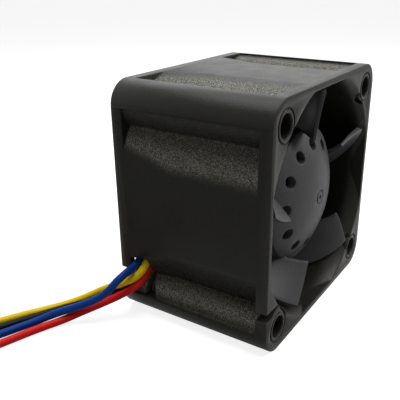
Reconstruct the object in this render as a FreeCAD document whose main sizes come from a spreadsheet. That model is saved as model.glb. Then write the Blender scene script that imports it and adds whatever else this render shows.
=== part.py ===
"""A 40 x 40 x 28 mm axial server fan with four leads and their connector.

Row frame: millimetres, +Z up, the fan standing on its lower side. The air enters at -Y and
leaves at +Y, and the fan axis runs along Y at half the height of the frame. Depths are
measured from the intake face, and angles about the fan axis from +X towards +Z.
"""

import FreeCAD, Part
import Sketcher
import math
import os
import re

SIZES = {
    # Housing
    "width": 40,
    "depth": 28,
    "axis_height": 20,
    "corner_radius": 4,
    "flange": 2,
    "hole_pitch": 32,
    "hole_radius": 1.75,
    "hole_rim_radius": 1.9,
    "hole_groove_radius": 2.6,
    "hole_groove_width": 0.28,
    "hole_groove_depth": 0.3,
    "hole_relief_radius": 3.1,
    "hole_relief_depth": 1.5,
    "post_radius": 3.55,
    "duct_radius": 21,
    "duct_flare_radius": 22.06,
    "duct_flare_start": 17.7,
    "mouth_radius": 20.2,
    "mouth_depth": 3.5,
    "mouth_arc": 5.36,
    "throat_radius": 18.9,
    "outlet_radius": 20.2,
    "outlet_start": 20,
    "bore_flat": 38,
    "notch_top": -11.85,
    "notch_gap": 1.4,
    # Lead slot in the exhaust flange and the channel behind it
    "hook_top": -9.35,
    "hook_tip": -11.7,
    "hook_thickness": 1.2,
    "lead_angle": -150,
    "channel_width": 3,
    "channel_wall": 1.1,
    "channel_start": 22.85,
    "wall_slot_start": 22.8,
    "wall_slot_width": 5.8,
    "wall_slot_angle": -147,
    "post_slot_edge": 20.9,
    "post_slot_inside": 23,
    "post_slot_end": 23.4,
    "post_slot_bottom": -16.1,
    "post_slot_height": 3.9,
    # Motor base and guide vanes
    "base_radius": 11.5,
    "base_wall": 1.1,
    "base_start": 20.3,
    "base_floor": 1.6,
    "vane_start": 20.8,
    "vane_thickness": 1.1,
    "vane_sweep": 11,
    # Bearing tube, bearings and shaft
    "tube_radius": 4.3,
    "tube_start": 7.4,
    "tube_end": 26.4,
    "bearing_radius": 3.5,
    "bearing_width": 3,
    "bearing_land": 0.6,
    "race_radius": 2.5,
    "ball_radius": 0.5,
    "groove_radius": 0.56,
    "cage_half": 0.2,
    "front_bearing": 7.8,
    "rear_bearing": 20.4,
    "shaft_radius": 1.5,
    "shaft_start": 2.8,
    "shaft_end": 25,
    "ring_start": 23.6,
    "ring_thickness": 0.5,
    "ring_radius": 2.6,
    "washer_thickness": 0.4,
    # Impeller
    "hub_radius": 11.53,
    "hub_wall": 1.2,
    "hub_end": 19.6,
    "dome_apex": 0.83,
    "dome_radius": 20.9,
    "dome_wall": 1.3,
    "boss_radius": 3,
    "boss_end": 7.2,
    "bushing_radius": 2.1,
    "gate_radius": 1,
    "gate_groove": 0.3,
    "gate_depth": 0.2,
    "gate_pit": 0.4,
    "vent_radius": 1,
    "vent_circle": 8.91,
    "vent_start_angle": 58.8,
    "blade_root": 11.2,
    "blade_tip": 18.4,
    "blade_thickness": 0.8,
    "blade_edge": 0.45,
    "blade_nose": 0.5,
    "blade_end": 18.5,
    "lead_edge_root": 1,
    "lead_edge_tip": 0.5,
    "lead_angle_root": -35.1,
    "lead_angle_tip": -45.9,
    "wrap_root": 42,
    "wrap_tip": 49.5,
    "entry_root": 0.35,
    "entry_tip": 0.3,
    # Rotor yoke, magnet and stator
    "yoke_radius": 10.3,
    "yoke_wall": 0.75,
    "yoke_start": 5.3,
    "yoke_end": 19.3,
    "yoke_vent_radius": 1.1,
    "yoke_vent_circle": 8.35,
    "magnet_radius": 9.5,
    "magnet_wall": 1.15,
    "magnet_start": 7.6,
    "magnet_end": 18.8,
    "core_radius": 8,
    "core_start": 9.2,
    "core_length": 7.6,
    "tooth_width": 2.2,
    "yoke_ring_radius": 5.2,
    "shoe_inner_radius": 7.3,
    "shoe_gap": 1.6,
    "insulator": 0.6,
    "coil_build": 0.8,
    "coil_depth": 1.2,
    # Circuit board
    "board_radius": 10,
    "board_start": 20.7,
    "board_thickness": 1,
    # Leads and connector
    "lead_radius": 0.65,
    "solder_radius": 0.6,
    "pin_pitch": 2.54,
    "plug_width": 10.4,
    "plug_length": 12.5,
    "plug_height": 5.4,
    "plug_x": -56,
    "plug_y": 34.5,
    "plug_angle": 150,
}

doc = FreeCAD.newDocument("server_fan")
sheet = doc.addObject("Spreadsheet::Sheet", "Sizes")
nodes = []


def fill_sheet():
    for row, (name, number) in enumerate(SIZES.items(), start=1):
        sheet.set(f"A{row}", name.replace("_", " "))
        sheet.set(f"B{row}", str(number))
        sheet.setAlias(f"B{row}", name)
    doc.recompute()


# Binding sizes to the sheet


def in_sheet(text):
    """An expression in which every size is named by its cell in the sheet."""
    return re.sub(r"[a-z][a-z_]*", lambda m: "Sizes." * (m[0] in SIZES) + m[0], str(text))


def value(text):
    return float(sheet.evalExpression(in_sheet(text)))


def bind(obj, **sizes):
    for name, text in sizes.items():
        obj.setExpression(name, in_sheet(text))
    return obj


def place(obj, x, depth, z):
    """Binds an object's position, given from the fan axis and the intake face."""
    obj.setExpression("Placement.Base.x", in_sheet(x))
    obj.setExpression("Placement.Base.y", in_sheet(f"{depth} - depth / 2"))
    obj.setExpression("Placement.Base.z", in_sheet(f"{z} + axis_height"))
    return obj


def node(name, obj):
    """Names a finished sub-part."""
    obj.Label = name
    nodes.append(obj)
    return obj


# Part primitives and booleans


ALONG_Y = FreeCAD.Rotation(FreeCAD.Vector(1, 0, 0), -90)


def rod(name, radius, start, length, x=0, z=0):
    obj = doc.addObject("Part::Cylinder", name)
    obj.Placement.Rotation = ALONG_Y
    bind(obj, Radius=radius, Height=length)
    return place(obj, x, start, z)


def cone(name, first_radius, second_radius, start, length, x=0, z=0):
    obj = doc.addObject("Part::Cone", name)
    obj.Placement.Rotation = ALONG_Y
    bind(obj, Radius1=first_radius, Radius2=second_radius, Height=length)
    return place(obj, x, start, z)


def block(name, low, size):
    """A box from its corner at the lowest x, depth and z."""
    obj = doc.addObject("Part::Box", name)
    bind(obj, Length=size[0], Width=size[1], Height=size[2])
    return place(obj, *low)


def cut(name, base, *tools):
    obj = doc.addObject("Part::Cut", name)
    obj.Base = base
    obj.Tool = tools[0] if len(tools) == 1 else fuse(name + "_tools", *tools)
    return obj


def fuse(name, *shapes, refine=True):
    obj = doc.addObject("Part::MultiFuse", name)
    obj.Shapes = list(shapes)
    obj.Refine = refine
    return obj


def common(name, first, second):
    obj = doc.addObject("Part::Common", name)
    obj.Base = first
    obj.Tool = second
    return obj


def ring(name, outer, inner, start, length, x=0, z=0):
    hole = rod(name + "_hole", inner, f"{start} - 1", f"{length} + 2", x, z)
    return cut(name, rod(name + "_disc", outer, start, length, x, z), hole)


# PartDesign bodies from outlines


def new_body(name, turn=0):
    """A body whose origin is on the fan axis at the intake face, turned about that axis."""
    body = doc.addObject("PartDesign::Body", name)
    body.Placement.Rotation = FreeCAD.Rotation(FreeCAD.Vector(0, -1, 0), value(turn))
    return place(body, 0, 0, 0)


def origin_feature(body, role):
    return next(item for item in body.Origin.OriginFeatures if item.Role == role)


def new_sketch(body, name, plane, offset=0):
    sketch = body.newObject("Sketcher::SketchObject", name)
    sketch.AttachmentSupport = [(origin_feature(body, plane), "")]
    sketch.MapMode = "FlatFace"
    sketch.setExpression("AttachmentOffset.Base.z", in_sheet(offset))
    return sketch


def arc_between(first, last, radius, turn):
    """The short arc from first to last, counter-clockwise where turn is 1."""
    half = (last - first) / 2
    left = FreeCAD.Vector(-half.y, half.x, 0).normalize()
    centre = first + half + left * turn * math.sqrt(radius**2 - half.Length**2)
    ends = (first, last) if turn > 0 else (last, first)
    angles = [math.atan2(end.y - centre.y, end.x - centre.x) for end in ends]
    return Part.ArcOfCircle(Part.Circle(centre, FreeCAD.Vector(0, 0, 1), radius), *angles)


def pin(sketch, edge, end, x, y):
    """Ties one end of an edge to coordinates held in the sheet."""
    for kind, text, axis in (("DistanceX", x, -2), ("DistanceY", y, -1)):
        if abs(value(text)) < 1e-9:
            sketch.addConstraint(Sketcher.Constraint("PointOnObject", edge, end, axis))
            continue
        index = sketch.addConstraint(
            Sketcher.Constraint(kind, -1, 1, edge, end, value(text))
        )
        sketch.setExpression(f"Constraints[{index}]", in_sheet(text))


def outline(sketch, corners, arcs):
    """A closed outline through corners. arcs maps an edge to its radius and its turn."""
    points = [FreeCAD.Vector(value(x), value(y), 0) for x, y in corners]
    count = len(points)
    for i in range(count):
        first, last = points[i], points[(i + 1) % count]
        if i in arcs:
            radius, turn = arcs[i]
            sketch.addGeometry(arc_between(first, last, value(radius), turn))
            index = sketch.addConstraint(Sketcher.Constraint("Radius", i, value(radius)))
            sketch.setExpression(f"Constraints[{index}]", in_sheet(radius))
        else:
            sketch.addGeometry(Part.LineSegment(first, last))
    for i in range(count):
        before = (i - 1) % count
        start = 2 if i in arcs and arcs[i][1] < 0 else 1
        end = 1 if before in arcs and arcs[before][1] < 0 else 2
        sketch.addConstraint(Sketcher.Constraint("Coincident", before, end, i, start))
        pin(sketch, i, start, *corners[i])


def revolved(name, corners, arcs=None):
    """A solid of revolution about the fan axis, from (radius, depth) corners."""
    body = new_body(name)
    sketch = new_sketch(body, name + "_profile", "XY_Plane")
    outline(sketch, corners, arcs or {})
    turned = body.newObject("PartDesign::Revolution", name + "_turned")
    turned.Profile = sketch
    turned.ReferenceAxis = (sketch, ["V_Axis"])
    turned.Angle = 360
    return body


def prism(name, corners, start, length, arcs=None, turn=0):
    """An outline across the fan axis, extended along it from a depth."""
    body = new_body(name, turn)
    sketch = new_sketch(body, name + "_outline", "XZ_Plane", f"-({start})")
    outline(sketch, corners, arcs or {})
    pad = body.newObject("PartDesign::Pad", name + "_pad")
    pad.Profile = sketch
    pad.Reversed = True
    bind(pad, Length=length)
    return body


def slab(name, corners, low, height):
    """An outline of x and depth corners, extended upwards from a height."""
    body = new_body(name)
    sketch = new_sketch(body, name + "_outline", "XY_Plane", low)
    outline(sketch, corners, {})
    pad = body.newObject("PartDesign::Pad", name + "_pad")
    pad.Profile = sketch
    bind(pad, Length=height)
    return body


def circle_sketch(body, name, radius, x, z, start):
    sketch = new_sketch(body, name, "XZ_Plane", f"-({start})")
    middle = FreeCAD.Vector(value(x), value(z), 0)
    sketch.addGeometry(Part.Circle(middle, FreeCAD.Vector(0, 0, 1), value(radius)))
    index = sketch.addConstraint(Sketcher.Constraint("Radius", 0, value(radius)))
    sketch.setExpression(f"Constraints[{index}]", in_sheet(radius))
    pin(sketch, 0, 3, x, z)
    return sketch


def polar(body, feature, count):
    """Repeats a feature evenly about the fan axis."""
    pattern = body.newObject("PartDesign::PolarPattern", feature.Name + "_round")
    pattern.Originals = [feature]
    pattern.Axis = (origin_feature(body, "Y_Axis"), [""])
    pattern.Angle = 360
    pattern.Occurrences = count
    body.Tip = pattern
    return pattern


# Housing

CORNERS = [(1, 1), (-1, 1), (-1, -1), (1, -1)]


def rounded_square(name, start, length):
    half, inner = "width / 2", "(width / 2 - corner_radius)"
    corners = [
        (inner, half), (f"-{inner}", half), (f"-{half}", inner), (f"-{half}", f"-{inner}"),
        (f"-{inner}", f"-{half}"), (inner, f"-{half}"), (half, f"-{inner}"), (half, inner),
    ]
    arcs = {edge: ("corner_radius", 1) for edge in (1, 3, 5, 7)}
    return prism(name, corners, start, length, arcs)


def duct_block():
    """The round duct, flared towards the exhaust and cut flat by the four sides."""
    skin = revolved("duct_skin", [
        (0, 0), ("duct_radius", 0), ("duct_radius", "duct_flare_start"),
        ("duct_flare_radius", "depth - flange"), ("duct_flare_radius", "depth"), (0, "depth"),
    ])
    square = block("duct_square", ("-width / 2", 0, "-width / 2"), ("width", "depth", "width"))
    return common("duct", skin, square)


def corner_post(x_side, z_side):
    """A screw post, with the frame's own rounded corner on its outer quarter."""
    name = f"post_{'right' if x_side > 0 else 'left'}_{'top' if z_side > 0 else 'bottom'}"
    x, z = f"{x_side} * hole_pitch / 2", f"{z_side} * hole_pitch / 2"
    quarter = block(
        name + "_quarter",
        (x if x_side > 0 else f"{x} - corner_radius", 0,
         z if z_side > 0 else f"{z} - corner_radius"),
        ("corner_radius", "depth", "corner_radius"),
    )
    corner = common(name + "_corner", rod(name + "_arc", "corner_radius", 0, "depth", x, z), quarter)
    return fuse(name, rod(name + "_tube", "post_radius", 0, "depth", x, z), corner)


def bore_tool():
    """The air passage: bell mouth, straight throat and outlet, clipped by the thin walls."""
    passage = revolved("passage", [
        (0, -1), ("mouth_radius", -1), ("mouth_radius", 0), ("throat_radius", "mouth_depth"),
        ("throat_radius", "outlet_start"), ("outlet_radius", "depth"),
        ("outlet_radius", "depth + 1"), (0, "depth + 1"),
    ], {2: ("mouth_arc", -1)})
    half = "-bore_flat / 2"
    square = block("bore_square", (half, -1, half), ("bore_flat", "depth + 2", "bore_flat"))
    return common("bore", passage, square)


def mount_hole_tools():
    """The screw holes, the groove round each one and its relief in the bell mouth."""
    tools, reliefs = [], []
    rim, groove = "(hole_rim_radius - hole_radius)", "hole_groove_radius"
    for i, (x_side, z_side) in enumerate(CORNERS):
        x, z = f"{x_side} * hole_pitch / 2", f"{z_side} * hole_pitch / 2"
        tools.append(rod(f"mount_hole_{i}", "hole_radius", -1, "depth + 2", x, z))
        tools.append(cone(f"front_rim_{i}", "hole_rim_radius", "hole_radius", 0, rim, x, z))
        tools.append(
            cone(f"rear_rim_{i}", "hole_radius", "hole_rim_radius", f"depth - {rim}", rim, x, z)
        )
        tools.append(ring(f"hole_groove_{i}", groove, f"{groove} - hole_groove_width",
                          -1, "hole_groove_depth + 1", x, z))
        reliefs.append(ring(f"hole_relief_{i}", "hole_relief_radius", groove,
                            -1, "hole_relief_depth + 1", x, z))
    mouth = rod("relief_limit", "mouth_radius", -1, "hole_relief_depth + 1")
    tools.append(common("mouth_reliefs", mouth, fuse("hole_reliefs", *reliefs)))
    return tools


def strip(half_width, near, far):
    """A strip from one distance to another, to be turned to its angle about the fan axis."""
    return [(near, f"-{half_width}"), (far, f"-{half_width}"), (far, half_width), (near, half_width)]


def lead_openings():
    """The notch at the intake, and the hooked slot and wall slot of the leads."""
    edge = "-width / 2 - 1"
    notch = block("notch", (edge, -1, "notch_top - notch_gap"), (5.5, "flange + 1", "notch_gap"))
    hook_edge = "-width / 2 + hook_thickness"
    pocket_height = "hook_top - hook_tip + 0.1"
    return [
        notch,
        block("slot_mouth", (edge, "depth - flange - 0.01", "-hole_pitch / 2"),
              (7, "flange + 1", "hole_pitch / 2 + hook_tip")),
        block("slot_pocket", (hook_edge, "depth - flange - 0.01", "hook_tip - 0.1"),
              (5, "flange + 1", pocket_height)),
        prism("wall_slot", strip("wall_slot_width / 2", "throat_radius - 1.5", 24),
              "wall_slot_start", "depth - wall_slot_start - flange", turn="wall_slot_angle"),
    ]


def post_slot():
    """The slot across the screw post beside the leads, slanted on its intake side."""
    outer, inner = "-width / 2 - 0.2", "-hole_pitch / 2 - 0.6"
    return slab("post_slot", [
        (outer, "post_slot_edge"), (inner, "post_slot_inside"), (inner, "post_slot_end"),
        (outer, "post_slot_end"),
    ], "post_slot_bottom", "post_slot_height")


def housing_shell():
    walls = [duct_block(), rounded_square("front_flange", 0, "flange")]
    walls.append(rounded_square("rear_flange", "depth - flange", "flange"))
    slotted = cut("slotted_walls", fuse("walls", *walls), *lead_openings())
    posts = [corner_post(*corner) for corner in CORNERS]
    walls_and_posts = fuse("walls_and_posts", slotted, *posts)
    return cut("shell", walls_and_posts, bore_tool(), post_slot(), *mount_hole_tools())


def motor_base():
    """The cup behind the rotor that holds the board and the bearing tube."""
    return revolved("motor_base", [
        ("bearing_radius", "tube_end"), ("bearing_radius", "depth"), ("base_radius", "depth"),
        ("base_radius", "base_start"), ("base_radius - base_wall", "base_start"),
        ("base_radius - base_wall", "depth - base_floor"),
        ("tube_radius + 1", "depth - base_floor"), ("tube_radius + 1", "board_start + 2.6"),
        ("tube_radius", "board_start + 2.6"), ("tube_radius", "tube_end"),
    ])


def blade(name, root, tip, depth_at, angle_at, thickness_at):
    """A thin blade from root to tip radius, its two sides B-spline surfaces.

    depth_at and angle_at give the camber line at a share of the span and of the chord, and
    thickness_at gives the thickness there.
    """
    spans, chords = [i / 3 for i in range(4)], [i / 8 for i in range(9)]

    def surface_point(span, chord, side):
        radius = root + (tip - root) * span
        angle, depth = math.radians(angle_at(span, chord)), depth_at(span, chord)
        step = 0.01
        run = radius * math.radians(angle_at(span, chord + step) - angle_at(span, chord - step))
        rise = depth_at(span, chord + step) - depth_at(span, chord - step)
        shift = side * thickness_at(span, chord) / 2 / math.hypot(run, rise)
        angle -= rise * shift / radius
        depth += run * shift
        return FreeCAD.Vector(radius * math.cos(angle), depth, radius * math.sin(angle))

    sides = []
    for side in (1, -1):
        surface = Part.BSplineSurface()
        surface.interpolate([[surface_point(s, c, side) for c in chords] for s in spans])
        sides.append(surface)
    faces = [side.toShape() for side in sides]
    bounds = [side.bounds() for side in sides]
    for iso, low, high in (("uIso", 0, 1), ("vIso", 2, 3)):
        for index in (low, high):
            rims = [getattr(side, iso)(bound[index]).toShape()
                    for side, bound in zip(sides, bounds)]
            faces.append(Part.makeRuledSurface(*rims))
    shell = Part.makeShell(faces)
    shell.sewShape()
    solid = Part.makeSolid(shell)
    if solid.Volume < 0:
        solid.reverse()
    feature = doc.addObject("Part::Feature", name)
    feature.Shape = solid
    return feature


def place_round(feature, angle):
    """Turns a coded solid about the fan axis and moves it there."""
    feature.Placement.Rotation = FreeCAD.Rotation(FreeCAD.Vector(0, -1, 0), angle)
    return place(feature, 0, 0, 0)


def guide_vanes():
    """Seven curved vanes; the channel of the leads stands in the place of the eighth."""
    start, end = value("vane_start"), value("depth")
    sweep, thickness = value("vane_sweep"), value("vane_thickness")
    vanes = []
    for i in range(1, 8):
        vane = blade(
            f"guide_vane_{i}", value("base_radius - base_wall / 2"), value("throat_radius + 0.7"),
            lambda span, chord: start + (end - start) * chord,
            lambda span, chord: sweep * (span + (1 - chord) ** 2),
            lambda span, chord: thickness,
        )
        vanes.append(place_round(vane, value("lead_angle") + 45 * i))
    return vanes


def lead_channel():
    """The wide strut of the leads, open towards the exhaust."""
    half, root = "(channel_width / 2 + channel_wall)", "base_radius - base_wall"
    outer = prism(
        "channel_block", strip(half, root, "throat_radius + 0.5"),
        "base_start + 0.9", "depth - base_start - 0.9", turn="lead_angle",
    )
    inner = prism(
        "channel_tool", strip("channel_width / 2", f"{root} - 1", 24),
        "channel_start", "depth - flange - channel_start", turn="lead_angle",
    )
    back = prism(
        "channel_back", strip("channel_width / 2", "base_radius + 1", "throat_radius"),
        "channel_start", "depth", turn="lead_angle",
    )
    return outer, inner, back


def make_housing():
    channel, channel_tool, channel_back = lead_channel()
    body = fuse("moulding", housing_shell(), motor_base(), channel, *guide_vanes())
    node("frame_housing", cut("frame_housing", body, channel_tool, channel_back))


# Bearings and shaft


def make_bearing(name, start):
    """An outer ring, an inner ring and seven balls in their grooves."""
    end = f"{start} + bearing_width"
    middle = f"({start} + bearing_width / 2)"
    inner_land = "(race_radius - groove_radius + 0.12)"
    outer_land = "(race_radius + groove_radius - 0.12)"
    groove_half = "sqrt(groove_radius ^ 2 - (groove_radius - 0.12) ^ 2)"
    above, below = f"{middle} - {groove_half}", f"{middle} + {groove_half}"
    node(f"{name}_outer_ring", revolved(f"{name}_outer_ring", [
        (outer_land, start), ("bearing_radius", start), ("bearing_radius", end),
        (outer_land, end), (outer_land, below), (outer_land, above),
    ], {4: ("groove_radius", -1)}))
    node(f"{name}_inner_ring", revolved(f"{name}_inner_ring", [
        ("shaft_radius", start), (inner_land, start), (inner_land, above), (inner_land, below),
        (inner_land, end), ("shaft_radius", end),
    ], {2: ("groove_radius", -1)}))
    balls = []
    for i in range(7):
        angle = f"({i} * 360 / 7) * 1 deg"
        ball = doc.addObject("Part::Sphere", f"{name}_ball_{i}")
        ball.Placement.Rotation = FreeCAD.Rotation(FreeCAD.Vector(0, 1, 0), -360 / 7 * i)
        bind(ball, Radius="ball_radius")
        balls.append(place(ball, f"race_radius * cos({angle})", middle, f"race_radius * sin({angle})"))
    cage = ring(f"{name}_cage", "race_radius + cage_half", "race_radius - cage_half",
                f"{middle} - cage_half", "2 * cage_half")
    node(f"{name}_balls", fuse(f"{name}_balls", *balls, cage))


def make_bearing_tube():
    shoulder = "bearing_radius - bearing_land"
    node("bearing_tube", revolved("bearing_tube", [
        ("bearing_radius", "tube_start"), ("tube_radius", "tube_start"),
        ("tube_radius", "tube_end"), ("bearing_radius", "tube_end"),
        ("bearing_radius", "rear_bearing"), (shoulder, "rear_bearing"),
        (shoulder, "front_bearing + bearing_width"),
        ("bearing_radius", "front_bearing + bearing_width"),
    ]))
    node("bearing_cap", revolved("bearing_cap", [
        (0, "tube_end + 0.2"), ("bearing_radius", "tube_end + 0.2"),
        ("bearing_radius", "depth - 0.2"), ("bearing_radius - 0.8", "depth - 0.2"),
        ("bearing_radius - 0.8", "depth - 0.6"), (0, "depth - 0.6"),
    ]))


def make_shaft():
    groove_end = "ring_start + ring_thickness"
    node("shaft", revolved("shaft", [
        (0, "shaft_start"), ("shaft_radius - 0.2", "shaft_start"),
        ("shaft_radius", "shaft_start + 0.2"), ("shaft_radius", "ring_start"),
        ("shaft_radius - 0.4", "ring_start"), ("shaft_radius - 0.4", groove_end),
        ("shaft_radius", groove_end), ("shaft_radius", "shaft_end - 0.3"),
        ("shaft_radius - 0.3", "shaft_end"), (0, "shaft_end"),
    ]))
    split = block("ring_split", ("-0.6", "ring_start - 1", 0), (1.2, "ring_thickness + 2", 4))
    clip = ring("clip_ring", "ring_radius", "shaft_radius - 0.4", "ring_start", "ring_thickness")
    node("retaining_ring", cut("retaining_ring", clip, split))
    washer_start = "front_bearing - washer_thickness"
    node("preload_washer",
         ring("preload_washer", "shaft_radius + 0.5", "shaft_radius", washer_start, "washer_thickness"))


# Impeller and rotor


def hub_cup():
    """The domed cup of the impeller with its gate mark, its boss and its ring of vent holes."""
    rim_drop = "(dome_radius - sqrt(dome_radius ^ 2 - hub_radius ^ 2))"
    inner = "(hub_radius - hub_wall)"
    inner_dome = "(dome_radius - dome_wall)"
    inner_apex = "(dome_apex + dome_wall)"
    boss_drop = f"({inner_dome} - sqrt({inner_dome} ^ 2 - boss_radius ^ 2))"
    wall_drop = f"({inner_dome} - sqrt({inner_dome} ^ 2 - {inner} ^ 2))"
    gate_floor, gate_rim = "dome_apex + gate_depth", "gate_radius + gate_groove"
    gate_drop = f"(dome_radius - sqrt(dome_radius ^ 2 - ({gate_rim}) ^ 2))"
    body = revolved("hub_cup", [
        (0, gate_floor), ("gate_pit", gate_floor), ("gate_pit", "dome_apex"),
        ("gate_radius", "dome_apex"), ("gate_radius", gate_floor), (gate_rim, gate_floor),
        (gate_rim, f"dome_apex + {gate_drop}"),
        ("hub_radius", f"dome_apex + {rim_drop}"), ("hub_radius", "hub_end"),
        (inner, "hub_end"), (inner, f"{inner_apex} + {wall_drop}"),
        ("boss_radius", f"{inner_apex} + {boss_drop}"), ("boss_radius", "boss_end"),
        ("bushing_radius", "boss_end"), ("bushing_radius", "shaft_start"), (0, "shaft_start"),
    ], {6: ("dome_radius", 1), 10: (inner_dome, -1)})
    doc.recompute()
    angle = "vent_start_angle * 1 deg"
    sketch = circle_sketch(
        body, "vent_sketch", "vent_radius",
        f"vent_circle * cos({angle})", f"vent_circle * sin({angle})", 0,
    )
    vent = body.newObject("PartDesign::Pocket", "vent")
    vent.Profile = sketch
    vent.Reversed = False
    bind(vent, Length="boss_end")
    polar(body, vent, 12)
    return body


def impeller_blades():
    root_angle, tip_angle = value("lead_angle_root"), value("lead_angle_tip")
    root_wrap, tip_wrap = value("wrap_root"), value("wrap_tip")
    root_entry, tip_entry = value("entry_root"), value("entry_tip")
    root_depth, tip_depth = value("lead_edge_root"), value("lead_edge_tip")
    end, nose = value("blade_end"), value("blade_nose")
    thick, thin = value("blade_thickness"), value("blade_edge")

    def angle_at(span, chord):
        lead = root_angle + (tip_angle - root_angle) * span
        return lead - (root_wrap + (tip_wrap - root_wrap) * span) * chord

    def depth_at(span, chord):
        lead = root_depth + (tip_depth - root_depth) * span
        entry = root_entry + (tip_entry - root_entry) * span
        return lead + (end - lead) * (entry * chord + (1 - entry) * chord**2)

    def thickness_at(span, chord):
        return thin + (thick - thin) * 4 * chord * (1 - chord) + nose * span * (1 - chord) ** 4

    root, tip = value("blade_root"), value("blade_tip")
    return [
        place_round(blade(f"blade_{i}", root, tip, depth_at, angle_at, thickness_at), 72 * i)
        for i in range(5)
    ]


def make_rotor():
    node("impeller", fuse("impeller", hub_cup(), *impeller_blades(), refine=False))
    node("shaft_bushing", ring("shaft_bushing", "bushing_radius", "shaft_radius",
                               "shaft_start", "boss_end - shaft_start"))
    yoke = revolved("yoke_cup", [
        ("boss_radius + 0.2", "yoke_start"), ("yoke_radius", "yoke_start"),
        ("yoke_radius", "yoke_end"), ("yoke_radius - yoke_wall", "yoke_end"),
        ("yoke_radius - yoke_wall", "yoke_start + yoke_wall"),
        ("boss_radius + 0.2", "yoke_start + yoke_wall"),
    ])
    doc.recompute()
    angle = "vent_start_angle * 1 deg"
    sketch = circle_sketch(
        yoke, "yoke_vent_sketch", "yoke_vent_radius",
        f"yoke_vent_circle * cos({angle})", f"yoke_vent_circle * sin({angle})", 0,
    )
    vent = yoke.newObject("PartDesign::Pocket", "yoke_vent")
    vent.Profile = sketch
    bind(vent, Length="yoke_start + 2")
    polar(yoke, vent, 12)
    node("rotor_yoke", yoke)
    node("magnet_ring", ring("magnet_ring", "magnet_radius", "magnet_radius - magnet_wall",
                             "magnet_start", "magnet_end - magnet_start"))


# Stator


def stator_star(name, start, length, grow):
    """A ring with four teeth and their curved shoes; grow widens the teeth."""
    disc = ring(name + "_plate", "core_radius", "tube_radius", start, length)
    slots = ring(name + "_slots", f"shoe_inner_radius - {grow}", f"yoke_ring_radius + {grow}",
                 f"{start} - 1", f"{length} + 2")
    tooth = f"(tooth_width + 2 * {grow})"
    along_x = block(name + "_teeth_x", ("-core_radius", f"{start} - 2", f"-{tooth} / 2"),
                    ("2 * core_radius", f"{length} + 4", tooth))
    along_z = block(name + "_teeth_z", (f"-{tooth} / 2", f"{start} - 2", "-core_radius"),
                    (tooth, f"{length} + 4", "2 * core_radius"))
    gap = strip("shoe_gap / 2", "-core_radius - 1", "core_radius + 1")
    gaps = [
        prism(f"{name}_gap_{i}", gap, f"{start} - 1", f"{length} + 2", turn=45 + 90 * i)
        for i in range(2)
    ]
    core = rod(name + "_keep", f"yoke_ring_radius + {grow}", f"{start} - 2", f"{length} + 4")
    openings = cut(name + "_openings", fuse(name + "_open", slots, *gaps),
                   along_x, along_z, core)
    return cut(name, disc, openings)


def make_stator():
    node("stator_core", stator_star("stator_core", "core_start", "core_length", 0))
    core_end = "core_start + core_length"
    node("front_insulator",
         stator_star("front_insulator", "core_start - insulator", "insulator", 0.2))
    node("rear_insulator", stator_star("rear_insulator", core_end, "insulator", 0.2))
    coils = []
    inner = "yoke_ring_radius + 0.3"
    far = f"{inner} + coil_depth"
    for i in range(4):
        start = "core_start - insulator - coil_build"
        length = "core_length + 2 * insulator + 2 * coil_build"
        half, half_tooth = "(tooth_width / 2 + 0.2 + coil_build)", "(tooth_width / 2 + 0.2)"
        winding = prism(f"winding_{i}", strip(half, inner, far), start, length, turn=90 * i)
        window = prism(
            f"window_{i}", strip(half_tooth, f"{inner} - 1", f"{far} + 1"),
            "core_start - insulator", "core_length + 2 * insulator", turn=90 * i,
        )
        coils.append(cut(f"coil_{i}", winding, window))
    group = doc.addObject("Part::Compound", "stator_coils")
    group.Links = coils
    node("stator_coils", group)


def make_board():
    """The ring-shaped board with its driver chip, sensor, capacitor and solder pads."""
    rear = "board_start + board_thickness"
    node("circuit_board", ring("circuit_board", "board_radius", "tube_radius + 0.1",
                               "board_start", "board_thickness"))
    node("driver_chip", block("driver_chip", (-2.5, rear, 5.4), (5, 1.2, 4)))
    node("capacitor", block("capacitor", (5.6, rear, -1.6), (2.6, 1.3, 3.2)))
    node("hall_sensor", block("hall_sensor", (7.6, "board_start - 1", 1.2), (1.6, 1, 1.6)))


# Leads and connector

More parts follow.
